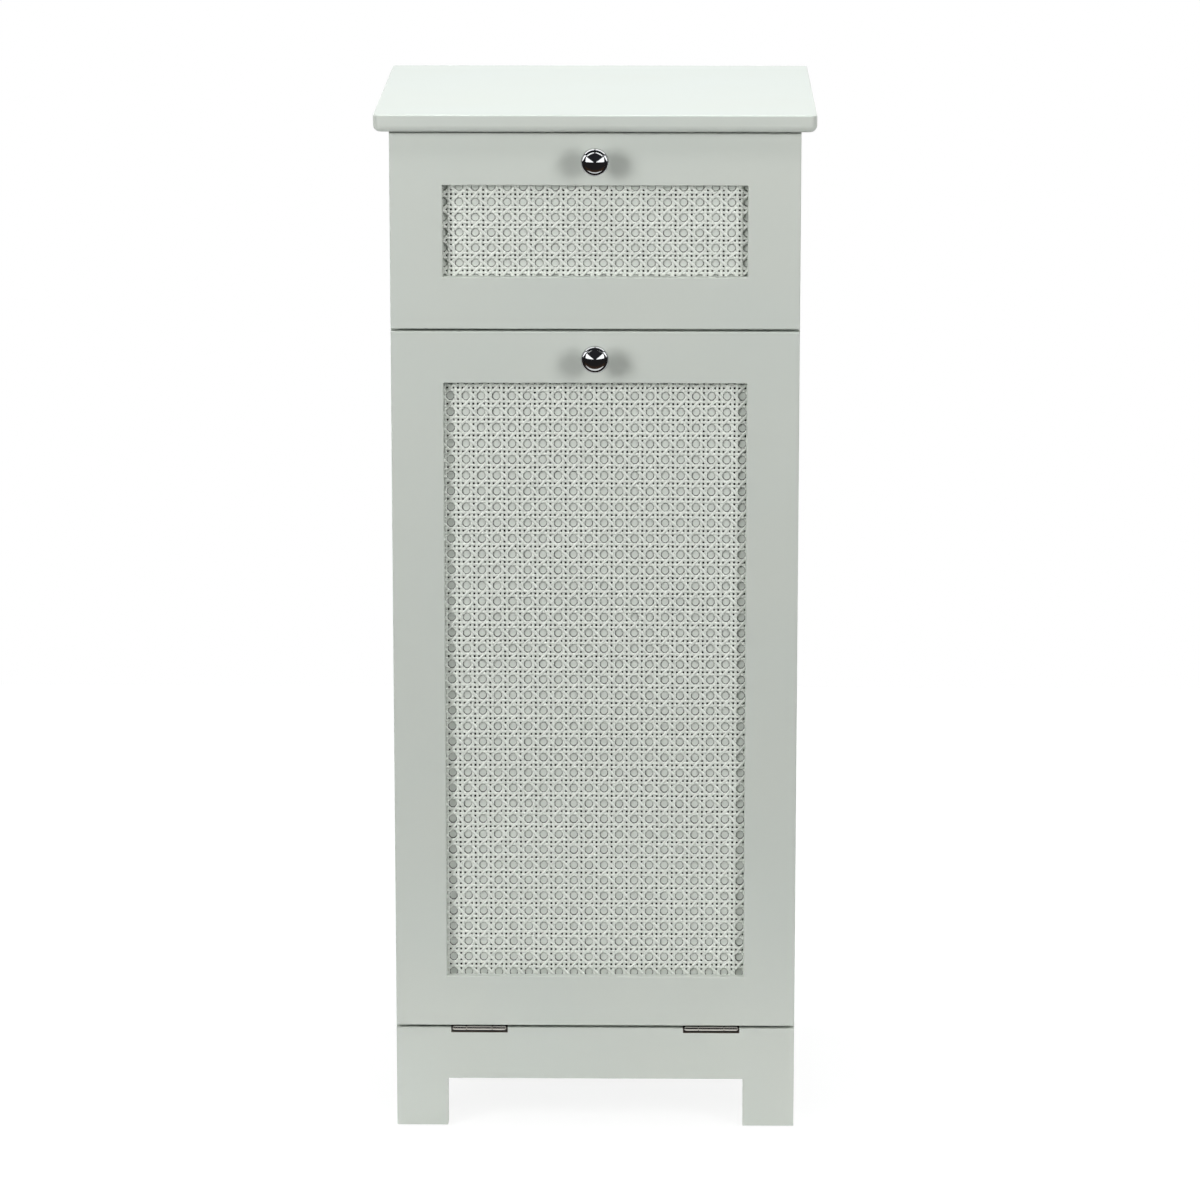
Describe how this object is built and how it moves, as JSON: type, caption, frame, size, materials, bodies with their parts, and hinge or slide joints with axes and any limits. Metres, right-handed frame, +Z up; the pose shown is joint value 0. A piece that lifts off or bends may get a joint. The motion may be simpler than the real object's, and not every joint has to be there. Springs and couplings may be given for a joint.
{
  "type": "laundry cabinet",
  "caption": "Tall narrow painted cabinet with a cane-fronted drawer above a cane-fronted door that tilts out with a laundry bag inside.",
  "frame": {"origin": "on the floor, under the middle of the cabinet's box, knobs included", "axes": "+X to the cabinet's right seen from the front, +Y towards its back, +Z up"},
  "size_m": [0.376, 0.357, 0.9],
  "materials": {
    "painted_board": "satin grey-green lacquer on fibreboard",
    "painted_cane": "woven cane, sprayed with the same lacquer",
    "drawer_board": "clear lacquered pine",
    "hardboard": "hardboard, raw outside",
    "beech": "raw beech",
    "chrome": "polished chrome",
    "zinc_steel": "bright zinc, nickel plate on the hinges",
    "runner_steel": "cream powder coat",
    "wire_steel": "bright drawn wire and strip, zinc plated",
    "nylon": "moulded nylon",
    "cotton": "cotton canvas"
  },
  "bodies": {
    "carcass": {"top_panel": "painted_board", "side_panel_left": "painted_board", "side_panel_right": "painted_board", "plinth_board": "painted_board", "bottom_panel": "painted_board", "divider_panel": "painted_board", "back_panel": "hardboard", "back_rail": "painted_board", "corner_blocks": "beech", "foot_glides": "nylon", "cam_locks": "zinc_steel", "cam_bolts": "zinc_steel", "dowels": "beech", "back_nails": "zinc_steel", "runner_fixed_left": "runner_steel", "runner_fixed_right": "runner_steel", "runner_screws": "zinc_steel", "hinge_lower_leaf_left": "zinc_steel", "hinge_lower_leaf_right": "zinc_steel", "hinge_pins": "zinc_steel", "hinge_screws_lower": "zinc_steel", "magnet_catches": "nylon", "catch_screws": "zinc_steel", "stay_pins": "zinc_steel", "bumper_dots": "nylon"},
    "drawer": {"drawer_front": "painted_board", "drawer_cane": "painted_cane", "drawer_cane_backing": "painted_board", "drawer_box_front": "drawer_board", "drawer_box_side_left": "drawer_board", "drawer_box_side_right": "drawer_board", "drawer_box_back": "drawer_board", "drawer_box_bottom": "hardboard", "drawer_box_screws": "zinc_steel", "drawer_runner_left": "runner_steel", "drawer_runner_right": "runner_steel", "drawer_runner_screws": "zinc_steel", "drawer_knob": "chrome", "drawer_knob_screw": "zinc_steel", "drawer_front_screws": "zinc_steel"},
    "door": {"door_frame": "painted_board", "door_cane": "painted_cane", "door_cane_backing": "painted_board", "door_knob": "chrome", "door_knob_screw": "zinc_steel", "hinge_upper_leaf_left": "zinc_steel", "hinge_upper_leaf_right": "zinc_steel", "hinge_screws_upper": "zinc_steel", "strike_plates": "zinc_steel", "strike_screws": "zinc_steel", "stay_left": "wire_steel", "stay_right": "wire_steel", "stay_screws": "zinc_steel", "bag_frame": "wire_steel", "bag_frame_screws": "zinc_steel", "laundry_bag": "cotton"},
    "front_roller_left_wheel": {"front_roller_left": "nylon"},
    "front_roller_right_wheel": {"front_roller_right": "nylon"},
    "rear_roller_left_wheel": {"rear_roller_left": "nylon"},
    "rear_roller_right_wheel": {"rear_roller_right": "nylon"}
  },
  "joints": [
    {"name": "drawer_slide", "type": "slide", "parent": "carcass", "child": "drawer", "axis": [0, -1, 0], "range_m": [0, 0.22]},
    {"name": "door_tilt", "type": "hinge", "parent": "carcass", "child": "door", "pos_m": [0, -0.152, 0.0905], "axis": [1, 0, 0], "range_deg": [0, 35]},
    {"name": "front_roller_left_turn", "type": "hinge", "parent": "carcass", "child": "front_roller_left_wheel", "pos_m": [-0.1542, -0.1265, 0.751], "axis": [1, 0, 0], "range_deg": [-2, 1803]},
    {"name": "front_roller_right_turn", "type": "hinge", "parent": "carcass", "child": "front_roller_right_wheel", "pos_m": [0.1542, -0.1265, 0.751], "axis": [1, 0, 0], "range_deg": [-2, 1803]},
    {"name": "rear_roller_left_turn", "type": "hinge", "parent": "drawer", "child": "rear_roller_left_wheel", "pos_m": [-0.1542, 0.1315, 0.74815], "axis": [1, 0, 0], "range_deg": [-2, 1803]},
    {"name": "rear_roller_right_turn", "type": "hinge", "parent": "drawer", "child": "rear_roller_right_wheel", "pos_m": [0.1542, 0.1315, 0.74815], "axis": [1, 0, 0], "range_deg": [-2, 1803]}
  ],
  "couplings": [
    {"joint": "front_roller_left_turn", "follows": "drawer_slide", "rad_per_m": 142.86},
    {"joint": "front_roller_right_turn", "follows": "drawer_slide", "rad_per_m": 142.86},
    {"joint": "rear_roller_left_turn", "follows": "drawer_slide", "rad_per_m": 142.86},
    {"joint": "rear_roller_right_turn", "follows": "drawer_slide", "rad_per_m": 142.86}
  ]
}
